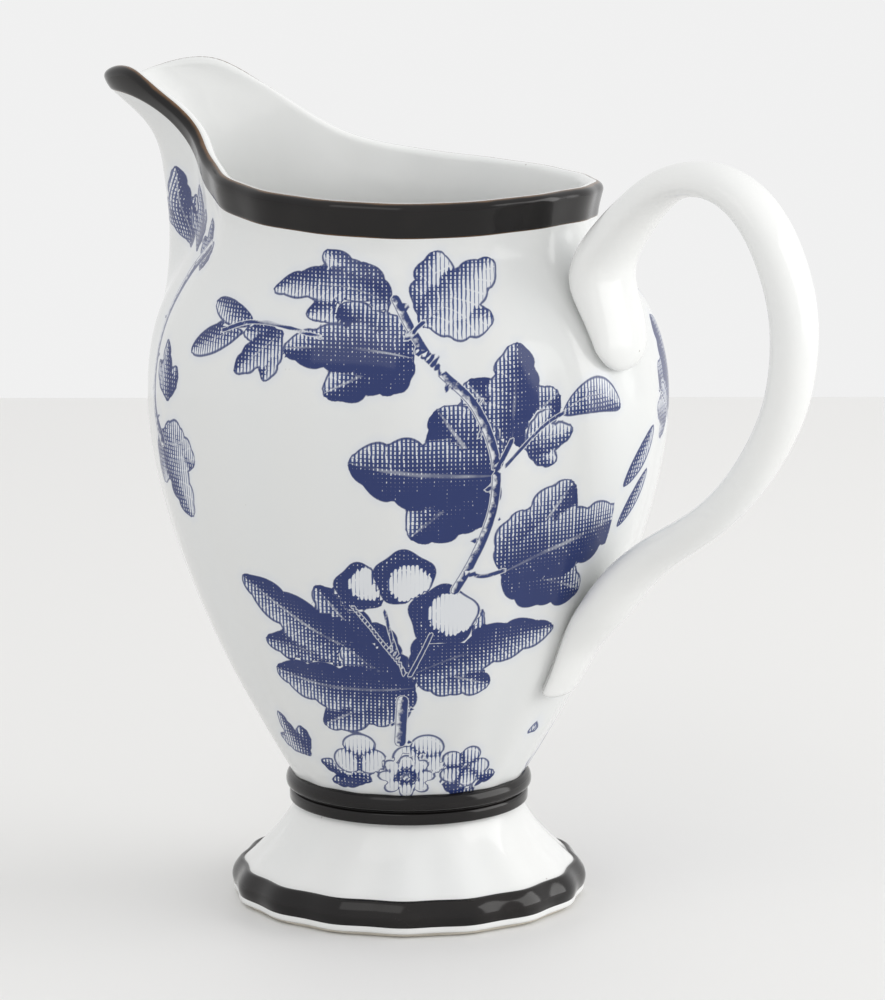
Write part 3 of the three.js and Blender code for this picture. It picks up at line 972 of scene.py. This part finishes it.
# %% [markdown]
# ## The printed spray
#
# The blue decoration is a transfer: a spray engraved in fine hatched lines, printed on tissue and
# rubbed down under the glaze. It could be an image, but here it is drawn by rule. Each leaf, stem and
# flower is a small function that says, for any point of the wall, how far inside or outside the motif
# it lies. The points of the body store that distance, and the shader draws the crisp edge and the
# engraved lines from it, at any closeness.
#
# The spray is laid out flat, in millimetres: `along` runs round the body and `up` runs up the wall,
# from the middle of one side of the belly. The other side carries the same spray mirrored.

# %% Flat places on the wall
side_turn = math.radians(54)
fine_heights = np.linspace(20, 140, 2400)
wall_length = np.concatenate([[0], np.cumsum(np.hypot(np.diff(body_radius(fine_heights)),
                                                      np.diff(fine_heights)))])
wall_length -= np.interp(belly_height, fine_heights, wall_length)

skin_angles = np.tile(angles, outside_rows)
skin_heights = np.concatenate([outside_height(t) for t in np.linspace(0, 1, outside_rows)])
turned_from_handle = (skin_angles + math.pi) % (2 * math.pi) - math.pi
on_far_side = turned_from_handle > 0
flat_along = (side_turn - np.abs(turned_from_handle)) * body_radius(skin_heights)
flat_up = np.interp(skin_heights, fine_heights, wall_length)
print(f"print area: {np.ptp(flat_along):.0f} x {np.ptp(flat_up):.0f} mm on each side")


# %% A sheet that keeps the topmost motif
class Sheet:
    """For each point: distance outside the edge, place along and across the motif, and its tone."""

    def __init__(self):
        size = len(flat_along)
        self.edge = np.full(size, 9.0)
        self.along = np.zeros(size)
        self.across = np.zeros(size)
        self.tone = np.zeros(size)

    def press(self, edge, along, across, tone, side, margin=0.3):
        if side == "near":
            edge = np.where(on_far_side, 9.0, edge)
        if side == "far":
            edge = np.where(on_far_side, edge, 9.0)
        wins = (edge < margin) | (edge < self.edge)
        self.edge = np.where(wins, edge, self.edge)
        inside = edge < margin
        for name, value in (("along", along), ("across", across), ("tone", tone)):
            setattr(self, name, np.where(inside, value, getattr(self, name)))


leaf_sheet, stem_sheet = Sheet(), Sheet()


# %% One lobe, and a leaf made of lobes
def lobe_shape(start, end, width, teeth=0, bend=0.0, sharp=1.05, blunt=0.5):
    """A long oval: distance outside it, place along it, and place across it from -1 to 1."""
    start, end = np.array(start, float), np.array(end, float)
    length = np.linalg.norm(end - start)
    forward = (end - start) / length
    dx, dy = flat_along - start[0], flat_up - start[1]
    along = (dx * forward[0] + dy * forward[1]) / length
    inside_span = np.clip(along, 0, 1)
    across = -dx * forward[1] + dy * forward[0] - bend * length * 4 * inside_span * (1 - inside_span)
    half = width / 2 * np.sin(np.pi * inside_span ** sharp) ** blunt
    if teeth:
        scallop = np.abs(np.sin(np.pi * (teeth * inside_span ** 1.2 + np.where(across > 0, 0.5, 0.2))))
        half *= 1 - 0.22 * (1 - scallop ** 0.6) * np.minimum(1, 3 * inside_span)
    half = np.maximum(half, 0.01)
    past = np.maximum(-along, along - 1) * length
    return np.maximum((np.abs(across) - half) * 0.85, past), along, np.clip(across / half, -1.2, 1.2)


def leaf(base, tip, width, tone, lobes, bend=0.0, side="both", light=-1.0, cut=0.62):
    """A leaf of one, three or five lobes, from its stalk to its tip; light is its paler side."""
    base, tip = np.array(base, float), np.array(tip, float)
    length = np.linalg.norm(tip - base)
    forward = (tip - base) / length
    sideways = np.array([-forward[1], forward[0]])

    def spot(along, out):
        sway = bend * length * 4 * along * (1 - along)
        return base + forward * along * length + sideways * (out * width / 2 + sway)

    slim = 0.6 if lobes > 1 else 1.0
    pieces = []
    for hand in (1, -1):
        if lobes >= 5:
            pieces.append(lobe_shape(spot(0.02, 0), spot(0.26, 0.92 * hand), width * 0.42, 2))
        if lobes >= 3:
            out = cut + 0.05 * hand
            pieces.append(lobe_shape(spot(0.08, 0), spot(out, 1.06 * hand), width * 0.54, 3))
    pieces.append(lobe_shape(spot(0, 0), spot(1, 0), width * slim, 4 if lobes > 1 else 0, bend))
    union = np.minimum.reduce([piece[0] for piece in pieces])
    shade = np.full(len(flat_along), float(tone))
    across = np.full(len(flat_along), 1.0)
    for edge, along, over in pieces:
        # one half of each lobe is turned to the light, and lobes darken towards their stalk
        lit = tone - 0.10 + 0.30 * over * light - 0.40 * (along - 0.5) * (over * light < 0.1)
        shade = np.where(edge < 0.1, lit, shade)
        across = np.where(edge < 0.1, over, across)
    from_stalk = np.hypot(flat_along - base[0], flat_up - base[1])
    leaf_sheet.press(union, from_stalk, across, np.clip(shade, 0.10, 1.0), side)


# %% A stem with thorns, a flower and a bud
thick_stem = 1.2
stem_tone = 0.9
no_rib = 0.6


def stem(points, width, thorns=0.0, side="both"):
    """A drawn-out line through points; thorns gives the spacing of its thorns, or 0 for none."""
    points = np.array(points, float)
    spots = np.linspace(0, len(points) - 1, 12 * len(points))
    line = np.stack([smooth_through(list(enumerate(points[:, k])), points[1, k] - points[0, k],
                                    points[-1, k] - points[-2, k])(spots) for k in range(2)], -1)
    nearest = np.full(len(flat_along), 9.0)
    signed = np.zeros(len(flat_along))
    since = thorns * 0.6
    hand = 1
    for a, b in zip(line, line[1:]):
        step = b - a
        length = np.linalg.norm(step)
        t = np.clip(((flat_along - a[0]) * step[0] + (flat_up - a[1]) * step[1]) / length ** 2, 0, 1)
        gone = np.hypot(flat_along - a[0] - t * step[0], flat_up - a[1] - t * step[1])
        closer = gone < nearest
        nearest = np.where(closer, gone, nearest)
        hand_side = np.sign(step[0] * (flat_up - a[1]) - step[1] * (flat_along - a[0]))
        signed = np.where(closer, gone * hand_side, signed)
        since += length
        if thorns and since > thorns:
            since = 0
            out = np.array([-step[1], step[0]]) / length * hand
            point = a + out * (width / 2 + 1.25) + step / length * 0.7
            thorn = lobe_shape(a, point, 1.7, sharp=0.3, blunt=0.8)
            stem_sheet.press(*thorn, 0 * nearest + stem_tone, side)
            hand = -hand
    # a thick stem is round, dark along one side; a thin one is a single solid line
    shaded = 1.0 + 0 * signed
    if width > thick_stem:
        shaded = np.clip(stem_tone - 0.35 + 0.45 * signed / width * 2, 0.2, 1.0)
    stem_sheet.press(nearest - width / 2, nearest, signed / width * 2, shaded, side)


def flower(middle, radius, petals, tone, turn, heart):
    """Open petals round a hatched heart: pale at their tips, dark at their folds."""
    dx, dy = flat_along - middle[0], flat_up - middle[1]
    far = np.hypot(dx, dy)
    round_it = np.arctan2(dy, dx) + turn
    petal = np.abs(np.cos(petals * round_it / 2))
    rim = radius * (0.56 + 0.44 * petal ** 0.6)
    reach = far / radius
    fold = (1 - petal) ** 3
    shaded = tone + 0.5 * np.clip(1 - reach * 1.5, 0, 1) + 0.75 * fold
    for edge, ink, margin in (((far - rim) * 0.9, np.clip(shaded, 0, 0.9), 0.3),
                              (far - radius * heart, 0.75, 0.15),
                              (far - radius * heart * 0.4, -0.1, 0.1)):
        leaf_sheet.press(edge, far, 0 * far + no_rib, ink, "both", margin)


def bud(middle, radius, turn, tone):
    """A curled bud: a dark cup round a white heart that sits towards its opening."""
    dx, dy = flat_along - middle[0], flat_up - middle[1]
    far = np.hypot(dx, dy)
    opening = np.array([math.cos(turn), math.sin(turn)]) * radius
    wave = 1 + 0.07 * np.cos(5 * (np.arctan2(dy, dx) - turn))
    heart = np.hypot(dx - 0.26 * opening[0], dy - 0.26 * opening[1]) / (0.78 * radius)
    towards = (dx * opening[0] + dy * opening[1]) / radius ** 2
    shaded = np.where(heart < 1, np.clip(0.35 * (heart - 0.62) - 0.3 * towards, -0.12, 0.4), tone)
    shaded = np.where((np.abs(heart - 1) < 0.10) & (towards < 0.75), 1.0, shaded)
    leaf_sheet.press(far - radius * wave, far, 0 * far + no_rib, shaded, "both")


# %% Laying out the stems
stem([(-2, 21.5), (0.8, 15.5), (5, 9.2), (9.8, 4.6), (13, -1.7), (14, -7.3), (13, -14.7), (9.8, -22.5),
      (7.4, -27)], width=1.5, thorns=4.6)
stem([(9.5, -24), (12, -24.6), (15.5, -23.8)], width=0.75, side="near")
stem([(14, -6.6), (15.2, -4.5), (16.6, -1.9)], width=0.8)
stem([(15.5, -6), (18.5, -3.2), (22.7, 0), (26.4, 1.7)], width=0.6)
stem([(5, 9.2), (3, 11), (1.1, 12.4)], width=0.7)
stem([(0.8, 15.5), (1.2, 16.2), (2.5, 17.5)], width=0.7)
stem([(-14, 14.5), (-20, 15.8), (-27.2, 16), (-33, 14)], width=0.7)
stem([(-1.0, -48), (-1.2, -52), (-1.4, -57)], width=1.9, thorns=3.4)
stem([(-3.8, -30.5), (-2.6, -36), (-0.6, -43)], width=0.6)
stem([(3.6, -35), (2.4, -38), (0.2, -43)], width=0.65)
stem([(-9, -30), (-6, -34), (-1.2, -41)], width=0.6)
stem([(-44, 27), (-50, 22), (-54.5, 12), (-55, 0), (-51, -6)], width=2.2, thorns=5.0)

# %% Laying out the leaves
# stalk, tip, width, then how strongly it is inked, how many lobes, and which half is paler
leaf((-2.6, 20.6), (-23, 22), 10.5, tone=0.62, lobes=5, bend=-0.12, light=-1)
leaf((1.8, 16.8), (14.0, 27.8), 14, tone=0.46, lobes=3, light=1)
leaf((1.0, 11.4), (-20.5, 12.2), 14, tone=0.84, lobes=5, bend=-0.05, light=1)
leaf((-28, 15.4), (-41.5, 9.6), 4.6, tone=0.66, lobes=1)
leaf((-20.5, 15), (-30, 7.6), 8, tone=0.66, lobes=3)
leaf((-26.5, 16), (-36, 18.5), 4.6, tone=0.60, lobes=1)
leaf((16.6, -2.4), (17.6, 13.4), 15.5, tone=0.82, lobes=5, light=-1, cut=0.55)
leaf((18.6, -3.2), (28.0, -1.0), 8.0, tone=0.60, lobes=3, light=-1)
leaf((26, 1.6), (39.5, 1.2), 5.8, tone=0.62, lobes=1, bend=0.18, side="near")
leaf((14.2, -7.4), (-9.6, -5.2), 20, tone=0.90, lobes=5, bend=0.03, light=1, cut=0.5)
leaf((14.8, -24.4), (41.5, -17.0), 18.5, tone=0.84, lobes=5, bend=0.03, side="near",
     light=-1, cut=0.56)
leaf((-1.6, -42), (-29.4, -26.4), 14, tone=0.84, lobes=5, bend=0.02, light=-1, cut=0.66)
leaf((1.2, -45.4), (-23.5, -43.6), 16, tone=0.86, lobes=5, bend=0.06, light=-1, cut=0.55)
leaf((0.6, -42.8), (25.4, -35.6), 14, tone=0.80, lobes=5, bend=0.05, light=1, cut=0.5)
bud((-7.6, -26.4), 4.3, 0.5, tone=0.86)
bud((-0.6, -24.6), 4.9, -0.9, tone=0.80)
bud((5.6, -31.6), 5.6, 0.25, tone=0.84)
leaf((-17.5, -62), (-24.6, -53.2), 6.4, tone=0.72, lobes=3, bend=0.08)
leaf((22.2, -58), (29, -55), 2.2, tone=0.46, lobes=1)
leaf((-56, 25.0), (-62, 38), 9.0, tone=0.84, lobes=3)
leaf((-51, 25), (-55, 36), 6.0, tone=0.82, lobes=3)
leaf((-45, 22.5), (-46.0, 31.4), 6.4, tone=0.82, lobes=3)
leaf((-48.4, 0.6), (-49.6, 10.6), 6.6, tone=0.70, lobes=3)
leaf((-50, -3.8), (-42, -18), 12.5, tone=0.62, lobes=5, cut=0.5)
leaf((37.5, -12.5), (30, -3.5), 4.0, tone=0.70, lobes=1, side="far")
leaf((35.5, -19.5), (30.5, -10.5), 3.4, tone=0.66, lobes=1, side="far")
leaf((-6, -66), (-15.6, -62.4), 6.5, tone=0.74, lobes=3, light=1)
leaf((5, -66), (15.4, -65.4), 8, tone=0.76, lobes=3, light=-1)
flower((-8.2, -60.4), 5.0, 3, tone=-0.1, turn=0.5, heart=0.12)
flower((2.2, -60.2), 5.0, 3, tone=-0.1, turn=0.9, heart=0.12)
flower((9.4, -63.0), 4.8, 5, tone=0.18, turn=0.1, heart=0.15)
flower((-0.4, -64.6), 4.9, 8, tone=-0.15, turn=0.0, heart=0.36)
print("points inside a leaf or petal:", int((leaf_sheet.edge < 0).sum()))

# %% Storing the spray on the body
bare_points = len(body.data.vertices) - len(skin_angles)


def keep_print(name, values, rest):
    keep_on_points(body, name, np.concatenate([values, np.full(bare_points, rest)]))


for prefix, sheet in (("leaf", leaf_sheet), ("stem", stem_sheet)):
    keep_print(prefix + "_edge", np.clip(sheet.edge, -4, 4), 4.0)
    keep_print(prefix + "_tone", sheet.tone, 0.0)
keep_print("leaf_along", leaf_sheet.along, 0.0)
keep_print("leaf_across", leaf_sheet.across, 0.0)
keep_print("flat_along", flat_along, 0.0)
keep_print("flat_up", flat_up, 0.0)
panel_valley = (1 + np.cos(panel_count * skin_angles)) / 2
keep_print("panel", panel_valley, 0.5)
# marks the outside of the wall, where the shader paints shade into the colour
keep_print("outside", np.ones(len(skin_angles)), 0.0)

# %% [markdown]
# ## Glaze over the print
#
# The printed body is the same glaze, with cobalt ink under it, and its outside is painted a little
# grey as painted shade. The shader reads the stored distances.
# Inside a motif it draws upright engraved lines whose width follows the tone, cross lines where the
# tone is dark, which leave rows of small white dots, an outline and a pale rib. Stems are speckled
# like bark, dark along one side. Ink bleeds a little into the glaze, so a faint blue haze surrounds
# each motif.

# %% Printed porcelain
cobalt = (0.001, 0.016, 0.120)
washed_cobalt = (0.07, 0.12, 0.31)
# a grey painted over the outside of the wall as painted shade, not a colour of the glaze
painted_outside_shade = (0.735, 0.745, 0.74)
hatch_pitch, line_softness = 0.68, 0.16


def engraved(place, coverage):
    """Lines one pitch apart; coverage 0 leaves white, 1 closes the lines up."""
    triangle = abs((place / hatch_pitch).fraction() - 0.5) * 2
    return (coverage * 1.06 - triangle).step(-line_softness, line_softness)


def printed_glaze():
    finish = Finish("printed_glaze")
    # the outside of the wall is painted greyer than the inside: painted shade
    shaded_outside_glaze = finish.mixed(finish.attribute("outside") * 0.8, glaze_colour(finish), painted_outside_shade)
    base = finish.mixed(finish.attribute("panel") * 0.12, shaded_outside_glaze, pooled_blue)
    wobble = (finish.noise(600, 2.0) - 0.5) * 0.35
    along = finish.attribute("flat_along") + wobble * 0.5
    up = finish.attribute("flat_up") + wobble * 0.5
    edge = finish.attribute("leaf_edge") + wobble * 0.4
    across = finish.attribute("leaf_across")
    veins = finish.attribute("leaf_along") * 0.42 - abs(across) * 1.1
    vein = (abs(veins.fraction() - 0.5) * 2).step(0.80, 0.95)
    wear = finish.noise(120, 3.0).step(0.35, 0.75)
    tone = finish.attribute("leaf_tone")
    shade = tone - vein * 0.16 - wear * 0.12 + 0.10
    rib = abs(across).step(0.09, 0.02) * tone.step(0.3, 0.5) * wear
    lines = engraved(along, shade)
    cross = engraved(up, (shade - 0.42) * 1.7)
    inside = edge.step(0.10, -0.10)
    outline = edge.step(-0.50, -0.24)
    leaf_ink = (lines.most(cross) * (1 - rib * 0.5)).most(outline * 0.9) * inside
    stem_edge = finish.attribute("stem_edge") + wobble * 0.4
    stem_inside = stem_edge.step(0.08, -0.12)
    bark = finish.attribute("stem_tone") + finish.noise(1100, 2.0) * 1.1 - 0.85
    stem_ink = bark.step(-0.1, 0.35).most(stem_edge.step(-0.24, -0.12) * 0.8) * stem_inside
    clear_round_stem = stem_edge.step(0.02, 0.14)
    ink = (leaf_ink * clear_round_stem).most(stem_ink)
    haze = edge.least(stem_edge).step(1.6, -0.2)
    hazed = finish.mixed(haze * 0.13, base, (0.42, 0.50, 0.74))
    strength = (tone * 1.1 + 0.25 - wear * 0.2).least(1.0).most(stem_inside * 0.9).most(outline * 0.9)
    colour = finish.mixed(strength, washed_cobalt, cobalt)
    finish.feed("Base Color", finish.mixed(ink * 0.97, hazed, colour))
    glaze_surface(finish)
    return finish.material


printed = printed_glaze()
body.data.materials.append(printed)

# %% [markdown]
# ## Stage, light and camera
#
# Glossy white ware shows its shape only by what it reflects and by soft shade. A hard lamp would burn
# out the glaze, so the jug stands on a plain pale floor in even pale surroundings, and one broad soft
# light, like a window low at the right, shades the panels towards the left. A weaker light in front
# and above opens the mouth. The floor ends a little way behind the jug, and the pale surroundings
# above that edge read as the wall.

# %% Stage
view_turn = math.radians(36)
to_camera = np.array([math.sin(view_turn), -math.cos(view_turn), 0])
to_right = np.array([math.cos(view_turn), math.sin(view_turn), 0])
axis_point = np.array([axis_x, 0, 0])


def world_spot(towards, right, up):
    return (axis_point + towards * to_camera + right * to_right + np.array([0, 0, up])) * mm


def stage_floor():
    far, near, side = 508, 4000, 4500
    corners = [world_spot(-far, -side, 0), world_spot(near, -side, 0), world_spot(near, side, 0),
               world_spot(-far, side, 0)]
    mesh = bpy.data.meshes.new("floor")
    mesh.from_pydata([tuple(c) for c in corners], [], [(0, 1, 2, 3)])
    made = bpy.data.objects.new("floor", mesh)
    bpy.context.scene.collection.objects.link(made)
    return made


floor = stage_floor()


def floor_paint():
    finish = Finish("pale_floor")
    cloud = finish.noise(1.5, 2.0)
    finish.feed("Base Color", finish.mixed(cloud * 0.2, (0.825, 0.82, 0.81), (0.795, 0.79, 0.78)))
    finish.feed("Roughness", cloud * 0.1 + 0.5)
    return finish.material


floor.data.materials.append(floor_paint())
print("floor corners in metres:", [tuple(round(c, 2) for c in v.co) for v in floor.data.vertices])

# %% Light
world = bpy.data.worlds.new("studio")
bpy.context.scene.world = world
world.use_nodes = True
surroundings = world.node_tree.nodes["Background"].inputs
surroundings["Color"].default_value = (0.875, 0.875, 0.875, 1)
surroundings["Strength"].default_value = 1.0


def aimed(spot, aim):
    return Vector(np.asarray(aim) - np.asarray(spot)).to_track_quat("-Z", "Y").to_euler()


def soft_light(name, spot, side, power, colour):
    data = bpy.data.lights.new(name, "AREA")
    data.shape = "SQUARE"
    data.size = side * mm
    data.energy = power
    data.color = colour
    made = bpy.data.objects.new(name, data)
    made.location = spot
    made.rotation_euler = aimed(spot, world_spot(0, 0, 70))
    bpy.context.scene.collection.objects.link(made)


soft_light("window", world_spot(60, 980, 330), 800, 5.2, (1.0, 0.995, 0.98))
soft_light("front", world_spot(800, -350, 900), 600, 1.2, (1.0, 0.99, 0.97))

# %% Camera
camera_data = bpy.data.cameras.new("camera")
camera_data.sensor_fit = "VERTICAL"
camera_data.sensor_height = 36.0
camera_data.lens = 164.3
camera = bpy.data.objects.new("camera", camera_data)
camera_spot = world_spot(740, 0, 205.89)
camera.location = camera_spot
camera.rotation_euler = aimed(camera_spot, world_spot(0, 5.63, 66.67))
bpy.context.scene.collection.objects.link(camera)
bpy.context.scene.camera = camera
bpy.context.scene.view_settings.view_transform = "Standard"
print(f"camera at {tuple(round(c, 3) for c in camera.location)} m, lens {camera_data.lens} mm")

# %% [markdown]
# ## Handing over
#
# Every piece here stands for one or more pieces of the CAD model. The handle and the two slip joints
# are one skin, because wiped slip leaves no line, so that skin stands for three of them.

# %% Who stands for what
for piece, nodes in ((body, ["vessel_body"]), (rim_band, ["rim_band"]), (collar, ["waist_collar"]),
                     (foot, ["spreading_foot"]), (bead, ["foot_edge_band"]), (ring, ["foot_ring"]),
                     (handle, ["loop_handle", "handle_upper_joint", "handle_lower_joint"])):
    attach(piece, "root")
    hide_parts(*nodes)
